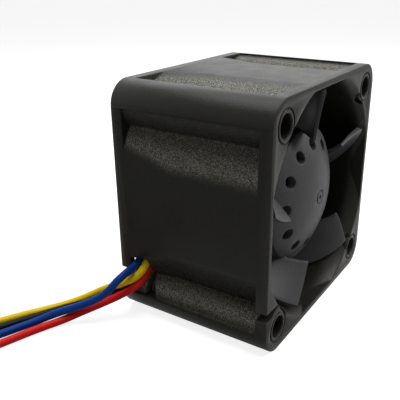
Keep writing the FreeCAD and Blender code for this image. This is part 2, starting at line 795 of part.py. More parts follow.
# Each route runs from the board, through the channel and over the floor to the connector.
LEAD_ROUTES = {
    "yellow": [
        (-8.6, 9.6, 15.9), (-13.4, 9.6, 13.2), (-18.1, 9.6, 10.4), (-20.4, 10.2, 7.8),
        (-21.7, 12.9, 6.0), (-22.4, 16.1, 4.4), (-23.6, 19.0, 2.5), (-26.0, 21.9, 1.2),
        (-29.4, 24.7, 0.8), (-33.6, 27.4, 0.7), (-38.6, 29.9, 0.7), (-44.0, 32.4, 1.1),
        (-50.1, 35.5, 2.2), (-55.8, 38.8, 2.7),
    ],
    "blue": [
        (-6.7, 11.0, 17.0), (-12.5, 11.0, 13.7), (-18.2, 11.0, 10.3), (-22.1, 11.6, 8.1),
        (-24.5, 12.7, 5.9), (-26.2, 14.9, 4.4), (-27.8, 17.6, 3.1), (-29.6, 20.4, 2.0),
        (-32.2, 22.7, 1.0), (-36.0, 24.6, 0.7), (-40.7, 26.4, 0.7), (-46.2, 28.4, 0.9),
        (-52.6, 31.1, 2.2), (-58.4, 34.4, 2.7),
    ],
    "black": [
        (-6.0, 11.0, 15.7), (-11.8, 11.0, 12.5), (-17.4, 11.0, 9.2), (-19.9, 11.6, 6.0),
        (-21.5, 13.5, 4.2), (-23.2, 15.8, 2.9), (-25.1, 18.5, 2.2), (-27.4, 21.2, 1.4),
        (-30.6, 23.7, 0.9), (-34.6, 25.9, 0.7), (-39.4, 28.1, 0.7), (-45.0, 30.5, 0.9),
        (-51.3, 33.4, 2.2), (-57.1, 36.6, 2.7),
    ],
    "red": [
        (-7.9, 9.6, 14.6), (-12.7, 9.6, 11.9), (-17.4, 9.6, 9.1), (-19.8, 9.9, 6.3),
        (-21.9, 11.8, 4.7), (-24.0, 14.4, 3.2), (-26.4, 17.2, 1.8), (-29.4, 19.4, 0.8),
        (-33.0, 21.1, 0.7), (-37.3, 22.5, 0.7), (-42.2, 24.1, 0.7), (-47.7, 26.2, 0.9),
        (-53.9, 29.0, 2.2), (-59.6, 32.2, 2.7),
    ],
}


def lead_path(points):
    """Straight runs joined by tangent arcs as large as the runs allow, and the arc radii."""
    edges, radii = [], []
    here = points[0]
    for before, corner, after in zip(points, points[1:], points[2:]):
        come, go = (corner - before).normalize(), (after - corner).normalize()
        turn = math.acos(max(-1, min(1, come * go)))
        run = min((corner - before).Length, (after - corner).Length)
        setback = 0.45 * run
        radius = setback / math.tan(turn / 2)
        radii.append(radius)
        first, last = corner - come * setback, corner + go * setback
        inward = (go - come).normalize()
        middle = corner + inward * (math.hypot(radius, setback) - radius)
        edges.append(Part.LineSegment(here, first).toShape())
        edges.append(Part.Arc(first, middle, last).toShape())
        here = last
    edges.append(Part.LineSegment(here, points[-1]).toShape())
    return Part.Wire(edges), radii


def make_lead(colour, route):
    points = [FreeCAD.Vector(*point) for point in route]
    path, radii = lead_path(points)
    direction = (points[1] - points[0]).normalize()
    section = Part.Wire(Part.makeCircle(value("lead_radius"), points[0], direction))
    tube = path.makePipeShell([section], True, False)
    expected = math.pi * value("lead_radius") ** 2 * path.Length
    print(f"lead_{colour}: length {path.Length:.1f}, volume {tube.Volume:.1f} of {expected:.1f}, "
          f"radii {' '.join(f'{radius:.1f}' for radius in radii)}")
    lead = doc.addObject("Part::Feature", f"lead_{colour}")
    lead.Shape = tube
    node(f"lead_{colour}", lead)


def make_solder_posts():
    """A soldered post on the board at the inner end of each lead."""
    board_rear = value("board_start + board_thickness - depth / 2")
    radius = value("solder_radius")
    posts = []
    for colour, route in LEAD_ROUTES.items():
        end, following = FreeCAD.Vector(*route[0]), FreeCAD.Vector(*route[1])
        middle = end - (following - end).normalize() * radius
        post = doc.addObject("Part::Cylinder", f"solder_post_{colour}")
        post.Placement = FreeCAD.Placement(FreeCAD.Vector(middle.x, board_rear, middle.z), ALONG_Y)
        bind(post, Radius="solder_radius")
        post.Height = end.y + value("lead_radius") - board_rear
        posts.append(post)
    group = doc.addObject("Part::Compound", "solder_posts")
    group.Links = posts
    node("solder_posts", group)


def make_connector():
    """A four-way crimp housing lying flat, with contacts, their windows and a polarising rib."""
    half = "plug_width / 2"

    def plug_block(name, low, size):
        box = doc.addObject("Part::Box", name)
        bind(box, Length=size[0], Width=size[1], Height=size[2])
        box.Placement.Rotation = FreeCAD.Rotation(FreeCAD.Vector(0, 0, 1), value("plug_angle"))
        cosine, sine = "cos(plug_angle * 1 deg)", "sin(plug_angle * 1 deg)"
        box.setExpression("Placement.Base.x",
                          in_sheet(f"plug_x + ({low[0]}) * {cosine} - ({low[1]}) * {sine}"))
        box.setExpression("Placement.Base.y",
                          in_sheet(f"plug_y + ({low[0]}) * {sine} + ({low[1]}) * {cosine}"))
        box.setExpression("Placement.Base.z", in_sheet(low[2]))
        return box

    shell = plug_block("plug_block", (0, f"-{half}", 0), ("plug_length", "plug_width", "plug_height"))
    tools, contacts = [], []
    for i in range(4):
        across = f"({i} - 1.5) * pin_pitch"
        tools.append(plug_block(f"cavity_{i}", (-1, f"{across} - 0.95", "plug_height / 2 - 1.15"),
                                ("plug_length + 2", 1.9, 2.3)))
        tools.append(plug_block(f"latch_window_{i}", (4.5, f"{across} - 0.55", "plug_height / 2"),
                                (2.2, 1.1, "plug_height")))
        contacts.append(plug_block(f"contact_{i}", (2, f"{across} - 0.75", "plug_height / 2 - 0.9"),
                                   ("plug_length - 2.6", 1.5, 1.8)))
    rib = plug_block("plug_rib", (7.5, -2, "plug_height - 0.5"), ("plug_length - 7.5", 4, 1.1))
    step = [plug_block(f"plug_step_{side}", (-1, f"{side} * {half} - 0.4", -1),
                       (3, 0.8, "plug_height + 2")) for side in (1, -1)]
    node("connector_housing", cut("connector_housing", fuse("plug", shell, rib), *tools, *step))
    group = doc.addObject("Part::Compound", "connector_contacts")
    group.Links = contacts
    node("connector_contacts", group)


def check_and_write():
    doc.recompute()
    for obj in doc.Objects:
        if "Invalid" in obj.State or "Error" in obj.State:
            raise RuntimeError(f"{obj.Name} failed: {obj.State}")
    for obj in nodes:
        if obj.Shape.isNull() or not obj.Shape.isValid():
            raise RuntimeError(f"{obj.Label} has no valid shape")
    os.makedirs("parts", exist_ok=True)
    for obj in nodes:
        obj.Shape.exportStep(f"parts/{obj.Label}.step")
        print(f"{obj.Label}: {len(obj.Shape.Solids)} solid(s), {obj.Shape.Volume:.1f} mm3")


def main():
    fill_sheet()
    make_housing()
    make_bearing_tube()
    make_bearing("front_bearing", "front_bearing")
    make_bearing("rear_bearing", "rear_bearing")
    make_shaft()
    make_rotor()
    make_stator()
    make_board()
    for colour, route in LEAD_ROUTES.items():
        make_lead(colour, route)
    make_solder_posts()
    make_connector()
    check_and_write()


main()
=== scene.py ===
"""Looks of a small server fan: black mouldings, motor metals, four leads, floor and light."""

import math

import bpy
from bpy.props import FloatProperty, FloatVectorProperty, PointerProperty
from mathutils import Matrix, Vector


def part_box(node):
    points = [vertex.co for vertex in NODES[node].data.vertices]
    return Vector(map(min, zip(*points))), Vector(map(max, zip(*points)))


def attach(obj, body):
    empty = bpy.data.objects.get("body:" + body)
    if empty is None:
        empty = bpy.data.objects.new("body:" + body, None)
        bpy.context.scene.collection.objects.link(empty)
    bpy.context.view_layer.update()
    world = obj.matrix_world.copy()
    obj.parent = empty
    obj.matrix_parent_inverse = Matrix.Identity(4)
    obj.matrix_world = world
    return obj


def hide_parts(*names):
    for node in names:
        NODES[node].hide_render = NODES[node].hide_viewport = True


bl_info = {
    "name": "Server Fan Looks",
    "version": (1, 0, 0),
    "blender": (4, 5, 0),
    "location": "3D View > Sidebar > Server Fan",
    "description": "Dresses a packed server fan with its finishes, leads, floor and light",
    "category": "Object",
}

MM = 0.001

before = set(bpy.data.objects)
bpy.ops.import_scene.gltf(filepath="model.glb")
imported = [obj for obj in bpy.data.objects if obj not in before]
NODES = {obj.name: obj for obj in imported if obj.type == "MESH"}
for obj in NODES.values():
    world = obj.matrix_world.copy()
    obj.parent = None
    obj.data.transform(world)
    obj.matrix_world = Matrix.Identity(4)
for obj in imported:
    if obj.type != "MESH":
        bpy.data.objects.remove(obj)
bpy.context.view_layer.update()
HOUSING_LOW, HOUSING_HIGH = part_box("frame_housing")
HALF_SIDE = (HOUSING_HIGH[0] - HOUSING_LOW[0]) / 2
FAN_AXIS_HEIGHT = (HOUSING_HIGH[2] + HOUSING_LOW[2]) / 2
HALF_DEPTH = (HOUSING_HIGH[1] - HOUSING_LOW[1]) / 2

# The bounds of the textured recesses: outside the duct, below the flat sides, between the
# flanges, and clear of the housing's rounded corners.
DUCT_WALL_RADIUS = 20.8 * MM
SIDE_FADE_START = HALF_SIDE - 0.8 * MM
SIDE_FADE_END = HALF_SIDE - 0.02 * MM
FLANGE_INNER_FACE = HALF_DEPTH - 2.02 * MM
CORNER_START = 16 * MM

# How the copy of a CAD node is cleaned, rounded and smoothed.
MERGE_DISTANCE = 0.002 * MM
FLAT_ANGLE = math.radians(0.5)
SHARP_ANGLE = math.radians(40)
SMOOTH_ANGLE = math.radians(35)
BEVEL_SEGMENTS = 2
CONNECTOR_EDGE_WIDTH = 0.1 * MM

# The heights of the moulded textures.
HOUSING_TEXTURE_HEIGHT = 0.13 * MM
ROTOR_TEXTURE_HEIGHT = 0.05 * MM
PLAIN_TEXTURE_HEIGHT = 0.01 * MM

# The camera's direction from the point that it looks at, and its lens and sensor in mm.
CAMERA_TURN = math.radians(-57.775)
CAMERA_RISE = math.radians(21.553)
CAMERA_ROLL = math.radians(-0.069)
CAMERA_TARGET = Vector((-10.495, 0.1, 22.018)) * MM
SENSOR_WIDTH = 36
LENS_LENGTH = 50.95
LENS_SHIFT = (-0.05, -0.025)
NEAREST_SEEN = 0.005

# Each lamp: the setting that holds its power, its width, its place and its colour.
COOL_WHITE = (0.93, 0.96, 1.0)
WARM_WHITE = (1.0, 0.98, 0.95)
LAMPS = {
    "overhead_lamp": ("key_power", 0.2, (-0.02, 0.03, 0.26), COOL_WHITE),
    "rear_lamp": ("rear_power", 0.24, (0.13, 0.1, 0.2), COOL_WHITE),
    "intake_lamp": ("fill_power", 0.14, (0.11, -0.15, 0.17), WARM_WHITE),
}
FLOOR_SIZE = 4
FLOOR_GLOW = 0.84
FLOOR_GLOW_IN_GLOSS = 0.35

# The leads from their solder joints, out of the side of the housing and over the floor.
LEAD_ROUTES = {
    "yellow": [
        (-0.0086, 0.0096, 0.0159), (-0.0134, 0.0096, 0.0132), (-0.0180, 0.0096, 0.0103),
        (-0.0201, 0.0100, 0.0077), (-0.0217, 0.0128, 0.0060), (-0.0224, 0.0161, 0.0044),
        (-0.0236, 0.0190, 0.0025), (-0.0260, 0.0219, 0.0012), (-0.0294, 0.0247, 0.0008),
        (-0.0336, 0.0274, 0.0007), (-0.0386, 0.0299, 0.0007), (-0.0440, 0.0324, 0.0011),
        (-0.0501, 0.0355, 0.0022), (-0.0558, 0.0388, 0.0027),
    ],
    "blue": [
        (-0.0067, 0.0110, 0.0170), (-0.0125, 0.0110, 0.0137), (-0.0175, 0.0110, 0.0107),
        (-0.0195, 0.0112, 0.0091), (-0.0238, 0.0114, 0.0084), (-0.0252, 0.0128, 0.0061),
        (-0.0262, 0.0149, 0.0044), (-0.0278, 0.0176, 0.0031), (-0.0296, 0.0204, 0.0020),
        (-0.0322, 0.0227, 0.0010), (-0.0360, 0.0246, 0.0007), (-0.0407, 0.0264, 0.0007),
        (-0.0462, 0.0284, 0.0009), (-0.0526, 0.0311, 0.0022), (-0.0584, 0.0344, 0.0027),
    ],
    "black": [
        (-0.0060, 0.0110, 0.0157), (-0.0118, 0.0110, 0.0125), (-0.0174, 0.0110, 0.0092),
        (-0.0199, 0.0116, 0.0060), (-0.0215, 0.0135, 0.0042), (-0.0232, 0.0158, 0.0029),
        (-0.0251, 0.0185, 0.0022), (-0.0274, 0.0212, 0.0014), (-0.0306, 0.0237, 0.0009),
        (-0.0346, 0.0259, 0.0007), (-0.0394, 0.0281, 0.0007), (-0.0450, 0.0305, 0.0009),
        (-0.0513, 0.0334, 0.0022), (-0.0571, 0.0366, 0.0027),
    ],
    "red": [
        (-0.0079, 0.0096, 0.0146), (-0.0127, 0.0096, 0.0119), (-0.0174, 0.0096, 0.0091),
        (-0.0198, 0.0099, 0.0063), (-0.0219, 0.0118, 0.0047), (-0.0240, 0.0144, 0.0032),
        (-0.0264, 0.0172, 0.0018), (-0.0294, 0.0194, 0.0008), (-0.0330, 0.0211, 0.0007),
        (-0.0373, 0.0225, 0.0007), (-0.0422, 0.0241, 0.0007), (-0.0477, 0.0262, 0.0009),
        (-0.0539, 0.0290, 0.0022), (-0.0596, 0.0322, 0.0027),
    ],
}
LEAD_DIAMETER = 0.0013


# Settings that a user would change


class FanPlasticSettings(bpy.types.PropertyGroup):
    housing_colour: FloatVectorProperty(
        name="Housing Colour", description="Colour of the moulded frame",
        subtype="COLOR", size=3, min=0, max=1, default=(0.013, 0.0124, 0.0098))
    rotor_colour: FloatVectorProperty(
        name="Rotor Colour", description="Colour of the hub and blades",
        subtype="COLOR", size=3, min=0, max=1, default=(0.05, 0.05, 0.053))
    housing_roughness: FloatProperty(
        name="Housing Roughness", description="Roughness of the smooth walls of the frame",
        subtype="FACTOR", min=0, max=1, default=0.32)
    grain_size: FloatProperty(
        name="Grain Size", description="Size of one grain of the texture in the recesses",
        unit="LENGTH", min=0.00005, max=0.002, default=0.00018, precision=5)
    edge_width: FloatProperty(
        name="Edge Width", description="Width of the small rounding on moulded edges",
        unit="LENGTH", min=0.00002, max=0.0005, default=0.00012, precision=5)


class FanLeadSettings(bpy.types.PropertyGroup):
    diameter: FloatProperty(
        name="Lead Diameter", description="Outer diameter of each lead",
        unit="LENGTH", min=0.0005, max=0.003, default=LEAD_DIAMETER, precision=5)
    yellow: FloatVectorProperty(
        name="Yellow", description="Insulation of the first lead",
        subtype="COLOR", size=3, min=0, max=1, default=(0.92, 0.62, 0.01))
    blue: FloatVectorProperty(
        name="Blue", description="Insulation of the second lead",
        subtype="COLOR", size=3, min=0, max=1, default=(0.003, 0.042, 0.24))
    black: FloatVectorProperty(
        name="Black", description="Insulation of the third lead",
        subtype="COLOR", size=3, min=0, max=1, default=(0.004, 0.004, 0.004))
    red: FloatVectorProperty(
        name="Red", description="Insulation of the fourth lead",
        subtype="COLOR", size=3, min=0, max=1, default=(0.72, 0.016, 0.016))


class FanStageSettings(bpy.types.PropertyGroup):
    floor_colour: FloatVectorProperty(
        name="Floor Colour", description="Colour of the floor and backdrop",
        subtype="COLOR", size=3, min=0, max=1, default=(0.45, 0.45, 0.45))
    key_power: FloatProperty(
        name="Key Power", description="Power of the large lamp overhead",
        unit="POWER", min=0, max=20, default=0.55)
    rear_power: FloatProperty(
        name="Rear Power", description="Power of the lamp behind the object",
        unit="POWER", min=0, max=20, default=0.2)
    fill_power: FloatProperty(
        name="Fill Power", description="Power of the lamp on the intake side",
        unit="POWER", min=0, max=20, default=0.47)
    room_light: FloatProperty(
        name="Room Light", description="Strength of the light that comes from all round",
        min=0, max=2, default=0.1)
    camera_distance: FloatProperty(
        name="Camera Distance", description="From the camera to the point it looks at",
        unit="LENGTH", min=0.02, max=1, default=0.092628, precision=5)


# Small helpers


def deselect_all():
    if bpy.context.object and bpy.context.object.mode != "OBJECT":
        bpy.ops.object.mode_set(mode="OBJECT")
    bpy.ops.object.select_all(action="DESELECT")


def select_only(piece):
    deselect_all()
    piece.select_set(True)
    bpy.context.view_layer.objects.active = piece


def set_material(piece, material):
    piece.data.materials.clear()
    piece.data.materials.append(material)


def rounded_copy(node, body, width):
    """A copy of a CAD node, merged and with its edges rounded, that stands for the node."""
    piece = bpy.data.objects.new(f"{node}_finish", NODES[node].data.copy())
    bpy.context.scene.collection.objects.link(piece)
    select_only(piece)
    bpy.ops.object.mode_set(mode="EDIT")
    bpy.ops.mesh.select_all(action="SELECT")
    bpy.ops.mesh.remove_doubles(threshold=MERGE_DISTANCE)
    bpy.ops.mesh.dissolve_limited(angle_limit=FLAT_ANGLE)
    bpy.ops.object.mode_set(mode="OBJECT")
    bevel = piece.modifiers.new("Rounded Edges", "BEVEL")
    bevel.width = width
    bevel.segments = BEVEL_SEGMENTS
    bevel.limit_method = "ANGLE"
    bevel.angle_limit = SHARP_ANGLE
    bevel.use_clamp_overlap = False
    bpy.ops.object.modifier_apply(modifier=bevel.name)
    bpy.ops.object.shade_smooth_by_angle(angle=SMOOTH_ANGLE)
    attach(piece, body)
    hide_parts(node)
    return piece


# Node trees


def feed(tree, socket, value):
    """Link the value to the socket where it is an output, and set it there where it isn't."""
    if isinstance(value, bpy.types.NodeSocket):
        tree.links.new(value, socket)
    else:
        socket.default_value = value


def add_node(tree, kind, operation=None, **inputs):
    """A shader node with some of its inputs fed, by socket name or, as i0, by number."""
    node = tree.nodes.new(kind)
    if operation:
        node.operation = operation
    for name, value in inputs.items():
        numbered = name[0] == "i" and name[1:].isdigit()
        feed(tree, node.inputs[int(name[1:]) if numbered else name], value)
    return node


def arithmetic(tree, operation, first, second=0.0, third=0.0):
    node = tree.nodes.new("ShaderNodeMath")
    node.operation = operation
    for socket, value in zip(node.inputs, (first, second, third)):
        feed(tree, socket, value)
    return node.outputs[0]


def ramp_between(tree, value, low, high):
    """0 below low, 1 above high, smooth between."""
    node = tree.nodes.new("ShaderNodeMapRange")
    node.interpolation_type = "SMOOTHSTEP"
    tree.links.new(value, node.inputs["Value"])
    node.inputs["From Min"].default_value = low
    node.inputs["From Max"].default_value = high
    return node.outputs["Result"]


def new_group(name, inputs, outputs):
    """An empty shader node group with named sockets: (name, socket type, default)."""
    group = bpy.data.node_groups.new(name, "ShaderNodeTree")
    for label, kind, default in inputs:
        socket = group.interface.new_socket(label, in_out="INPUT", socket_type=kind)
        if default is not None:
            socket.default_value = default
    for label, kind in outputs:
        group.interface.new_socket(label, in_out="OUTPUT", socket_type=kind)
    start = group.nodes.new("NodeGroupInput")
    end = group.nodes.new("NodeGroupOutput")
    return group, start.outputs, end.inputs


def eroded_texture_group():
    """The pebbled texture of a spark-eroded mould, as a height and as a mask of the grain tops,
    which the materials lighten as grain tone and, on the housing's recesses, as painted glints.
    """
    pebble_height = 0.7
    tops_start, tops_full = 0.72, 1.12
    group, given, result = new_group(
        "Eroded Texture",
        [("Vector", "NodeSocketVector", None), ("Grain", "NodeSocketFloat", 0.0003),
         ("Amount", "NodeSocketFloat", 1.0)],
        [("Height", "NodeSocketFloat"), ("Tops", "NodeSocketFloat")])
    scale = arithmetic(group, "DIVIDE", 1.0, given["Grain"])
    pebbles = add_node(group, "ShaderNodeTexVoronoi", Vector=given["Vector"], Scale=scale)
    pebbles.feature = "SMOOTH_F1"
    pebbles.inputs["Smoothness"].default_value = 0.6
    waves = add_node(group, "ShaderNodeTexNoise", Vector=given["Vector"], Scale=scale, Detail=3.0)
    mounds = arithmetic(group, "MULTIPLY_ADD", pebbles.outputs["Distance"], -pebble_height,
                        pebble_height)
    height = arithmetic(group, "ADD", mounds, waves.outputs["Fac"])
    amount = arithmetic(group, "MULTIPLY", height, given["Amount"])
    tops = ramp_between(group, height, tops_start, tops_full)
    group.links.new(amount, result["Height"])
    group.links.new(arithmetic(group, "MULTIPLY", tops, given["Amount"]), result["Tops"])
    return group


def cloudy_wear_group():
    """Slow changes of shade and gloss that handling leaves on a moulding."""
    group, given, result = new_group(
        "Handled Surface",
        [("Vector", "NodeSocketVector", None), ("Size", "NodeSocketFloat", 0.006),
         ("Strength", "NodeSocketFloat", 0.1)],
        [("Shade", "NodeSocketFloat"), ("Roughening", "NodeSocketFloat")])
    scale = arithmetic(group, "DIVIDE", 1.0, given["Size"])
    clouds = add_node(group, "ShaderNodeTexNoise", Vector=given["Vector"], Scale=scale,
                      Detail=4.0, Roughness=0.6)
    centred = arithmetic(group, "SUBTRACT", clouds.outputs["Fac"], 0.5)
    shade = arithmetic(group, "MULTIPLY_ADD", centred, given["Strength"], 1.0)
    group.links.new(shade, result["Shade"])
    group.links.new(arithmetic(group, "MULTIPLY", centred, given["Strength"]), result["Roughening"])
    return group


def painted_edge_highlight_group():
    """A painted highlight: the paler line where two faces meet at a convex edge."""
    blunt, sharp = 0.515, 0.6
    group, given, result = new_group(
        "Rubbed Edge", [("Strength", "NodeSocketFloat", 1.0)], [("Mask", "NodeSocketFloat")])
    pointiness = group.nodes.new("ShaderNodeNewGeometry").outputs["Pointiness"]
    edge = ramp_between(group, pointiness, blunt, sharp)
    group.links.new(arithmetic(group, "MULTIPLY", edge, given["Strength"]), result["Mask"])
    return group


GROUP_MAKERS = {
    "Eroded Texture": eroded_texture_group,
    "Handled Surface": cloudy_wear_group,
    "Rubbed Edge": painted_edge_highlight_group,
}
GROUPS = {}


def group_node(tree, name, **inputs):
    """The outputs of a shared group, which is built when it is first asked for."""
    if name not in GROUPS:
        GROUPS[name] = GROUP_MAKERS[name]()
    node = tree.nodes.new("ShaderNodeGroup")
    node.node_tree = GROUPS[name]
    for label, value in inputs.items():
        feed(tree, node.inputs[label], value)
    return node.outputs


def new_material(name, colour, roughness, metallic=0.0, specular=0.5):
    """A material with its Principled shader, and the object coordinates to build on."""
    material = bpy.data.materials.new(name)
    material.use_nodes = True
    tree = material.node_tree
    shader = tree.nodes["Principled BSDF"]
    shader.inputs["Base Color"].default_value = (*colour, 1.0)
    shader.inputs["Roughness"].default_value = roughness
    shader.inputs["Metallic"].default_value = metallic
    shader.inputs["Specular IOR Level"].default_value = specular
    place = tree.nodes.new("ShaderNodeTexCoord").outputs["Object"]
    return material, tree, shader, place


def vary_colour(tree, shader, shade, colour):
    """Base colour times a shade that changes over the surface."""
    tinted = add_node(tree, "ShaderNodeVectorMath", "SCALE", i0=colour)
    tree.links.new(shade, tinted.inputs["Scale"])
    tree.links.new(tinted.outputs["Vector"], shader.inputs["Base Color"])


def bump(tree, shader, height, distance):
    node = add_node(tree, "ShaderNodeBump", Height=height, Distance=distance, Strength=1.0)
    tree.links.new(node.outputs["Normal"], shader.inputs["Normal"])


def seen_directly(tree, in_gloss=1.0):
    """1 for rays from the camera or through glass, and a share for those that gloss sends on."""
    rays = tree.nodes.new("ShaderNodeLightPath").outputs
    direct = arithmetic(tree, "MAXIMUM", rays["Is Camera Ray"], rays["Is Transmission Ray"])
    glossy = arithmetic(tree, "MULTIPLY", rays["Is Glossy Ray"], in_gloss)
    return arithmetic(tree, "MAXIMUM", direct, glossy)


# Materials


def recess_mask(tree, place):
    """1 on every wall inside the recesses of the four sides, where the mould is eroded."""
    split = add_node(tree, "ShaderNodeSeparateXYZ", i0=place)
    across = split.outputs["X"]
    depth = split.outputs["Y"]
    above = arithmetic(tree, "SUBTRACT", split.outputs["Z"], FAN_AXIS_HEIGHT)
    wide, tall = arithmetic(tree, "ABSOLUTE", across), arithmetic(tree, "ABSOLUTE", above)
    radius = arithmetic(tree, "SQRT", arithmetic(
        tree, "ADD", arithmetic(tree, "MULTIPLY", across, across),
        arithmetic(tree, "MULTIPLY", above, above)))
    outside = arithmetic(tree, "GREATER_THAN", radius, DUCT_WALL_RADIUS)
    sunk = arithmetic(tree, "SUBTRACT", 1.0, ramp_between(
        tree, arithmetic(tree, "MAXIMUM", wide, tall), SIDE_FADE_START, SIDE_FADE_END))
    between = arithmetic(tree, "LESS_THAN", arithmetic(tree, "ABSOLUTE", depth), FLANGE_INNER_FACE)
    off_corner = arithmetic(tree, "LESS_THAN", arithmetic(tree, "MINIMUM", wide, tall),
                            CORNER_START)
    return arithmetic(tree, "MULTIPLY", arithmetic(tree, "MULTIPLY", outside, sunk),
                      arithmetic(tree, "MULTIPLY", between, off_corner))


def housing_material(settings):
    """Black plastic, smooth on the walls and grained in the recesses, with painted light: recesses
    that face up are lighter and carry painted glints on their grain tops, and convex edges a
    painted highlight.
    """
    smooth_wall_grain = 0.2
    facing_down, facing_up = -0.5, 0.5
    tops_facing_up, tops_elsewhere = 1.25, 0.06
    # The lifts paint light into the colour: painted glints on the grain tops, painted light from
    # above on the recesses that face up, and a painted highlight on convex edges.
    tops_lift, top_light_lift, edge_highlight_lift = 12.5, 2.2, 2.0
    tops_roughening = -0.12
    material, tree, shader, place = new_material(
        "Housing Plastic", settings.housing_colour, settings.housing_roughness, specular=0.12)
    mask = recess_mask(tree, place)
    amount = arithmetic(tree, "MULTIPLY_ADD", mask, 1 - smooth_wall_grain, smooth_wall_grain)
    grain = group_node(tree, "Eroded Texture", Vector=place, Grain=settings.grain_size,
                       Amount=amount)
    wear = group_node(tree, "Handled Surface", Vector=place, Size=0.005, Strength=0.32)
    # Painted highlight on the convex edges, added into the shade below.
    edge = group_node(tree, "Rubbed Edge", Strength=edge_highlight_lift)["Mask"]
    bump(tree, shader, grain["Height"], HOUSING_TEXTURE_HEIGHT)
    normal = tree.nodes.new("ShaderNodeTexCoord").outputs["Normal"]
    facing = add_node(tree, "ShaderNodeSeparateXYZ", i0=normal).outputs["Z"]
    # Painted light from above: recess walls are lighter the more they face up.
    upward = ramp_between(tree, facing, facing_down, facing_up)
    painted_top_light = arithmetic(tree, "MULTIPLY", upward, mask)
    # Grain tops lighter: a faint random grain tone everywhere, and painted glints that are
    # strongest on recesses that face up.
    grain_tone_and_glints = arithmetic(tree, "MULTIPLY_ADD", painted_top_light, tops_facing_up, tops_elsewhere)
    pale = arithmetic(tree, "MULTIPLY", grain["Tops"], grain_tone_and_glints)
    lifted = arithmetic(tree, "MULTIPLY_ADD", painted_top_light, top_light_lift, wear["Shade"])
    lifted = arithmetic(tree, "ADD", lifted, edge)
    shade = arithmetic(tree, "MULTIPLY_ADD", pale, tops_lift, lifted)
    vary_colour(tree, shader, shade, settings.housing_colour)
    polished = arithmetic(tree, "MULTIPLY", grain["Tops"], tops_roughening)
    rough = arithmetic(tree, "MULTIPLY_ADD", mask, polished, settings.housing_roughness)
    tree.links.new(arithmetic(tree, "ADD", rough, wear["Roughening"]), shader.inputs["Roughness"])
    return material


def rotor_material(settings):
    """Black plastic with a slight sheen and a fine, even grain, and a painted highlight on its
    convex edges.
    """
    roughness = 0.36
    tops_lift, edge_highlight_lift = 0.45, 1.2
    material, tree, shader, place = new_material(
        "Rotor Plastic", settings.rotor_colour, roughness, specular=0.1)
    wear = group_node(tree, "Handled Surface", Vector=place, Size=0.005, Strength=0.35)
    grain = group_node(tree, "Eroded Texture", Vector=place, Grain=0.00016, Amount=0.5)
    # Painted highlight on the convex edges, added into the shade below.
    edge = group_node(tree, "Rubbed Edge", Strength=edge_highlight_lift)["Mask"]
    lifted = arithmetic(tree, "MULTIPLY_ADD", grain["Tops"], tops_lift, wear["Shade"])
    shade = arithmetic(tree, "ADD", lifted, edge)
    vary_colour(tree, shader, shade, settings.rotor_colour)
    rough = arithmetic(tree, "ADD", wear["Roughening"], roughness)
    tree.links.new(rough, shader.inputs["Roughness"])
    bump(tree, shader, grain["Height"], ROTOR_TEXTURE_HEIGHT)
    return material


def metal_material(name, colour, roughness, streak):
    """Metal with fine turning or grinding marks round the fan axis."""
    closer_along_axis = (1.0, 14.0, 1.0)
    spread = 0.16
    material, tree, shader, place = new_material(name, colour, roughness, metallic=1.0)
    stretched = add_node(tree, "ShaderNodeMapping", i0=place, Scale=closer_along_axis)
    marks = add_node(tree, "ShaderNodeTexNoise", Vector=stretched.outputs["Vector"],
                     Scale=streak, Detail=3.0)
    wear = group_node(tree, "Handled Surface", Vector=place, Size=0.002, Strength=0.2)
    vary_colour(tree, shader, wear["Shade"], colour)
    rough = arithmetic(tree, "MULTIPLY_ADD", marks.outputs["Fac"], spread, roughness - spread / 2)
    tree.links.new(rough, shader.inputs["Roughness"])
    return material


def plain_material(name, colour, roughness):
    """Plastic, resin or paint with slow changes of shade."""
    material, tree, shader, place = new_material(name, colour, roughness)
    wear = group_node(tree, "Handled Surface", Vector=place, Size=0.003, Strength=0.25)
    grain = group_node(tree, "Eroded Texture", Vector=place, Grain=0.0002, Amount=0.3)
    vary_colour(tree, shader, wear["Shade"], colour)
    rough = arithmetic(tree, "ADD", wear["Roughening"], roughness)
    tree.links.new(rough, shader.inputs["Roughness"])
    bump(tree, shader, grain["Height"], PLAIN_TEXTURE_HEIGHT)
    return material


def lead_material(name, colour):
    """Soft satin insulation with slow changes of shade."""
    roughness = 0.38
    material, tree, shader, place = new_material(name, colour, roughness, specular=0.1)
    wear = group_node(tree, "Handled Surface", Vector=place, Size=0.004, Strength=0.18)
    vary_colour(tree, shader, wear["Shade"], colour)
    rough = arithmetic(tree, "ADD", wear["Roughening"], roughness)
    tree.links.new(rough, shader.inputs["Roughness"])
    return material


# Operators


class FAN_OT_finish_mouldings(bpy.types.Operator):
    """Give the frame and the impeller their moulded black finish"""

    bl_idname = "server_fan.finish_mouldings"
    bl_label = "Finish Mouldings"

    def execute(self, context):
        settings = context.scene.fan_plastic
        housing = housing_material(settings)
        shell = rounded_copy("frame_housing", "frame", settings.edge_width)
        set_material(shell, housing)
        set_material(NODES["bearing_cap"], housing)
        wheel = rounded_copy("impeller", "rotor", settings.edge_width / 2)
        set_material(wheel, rotor_material(settings))
        return {"FINISHED"}


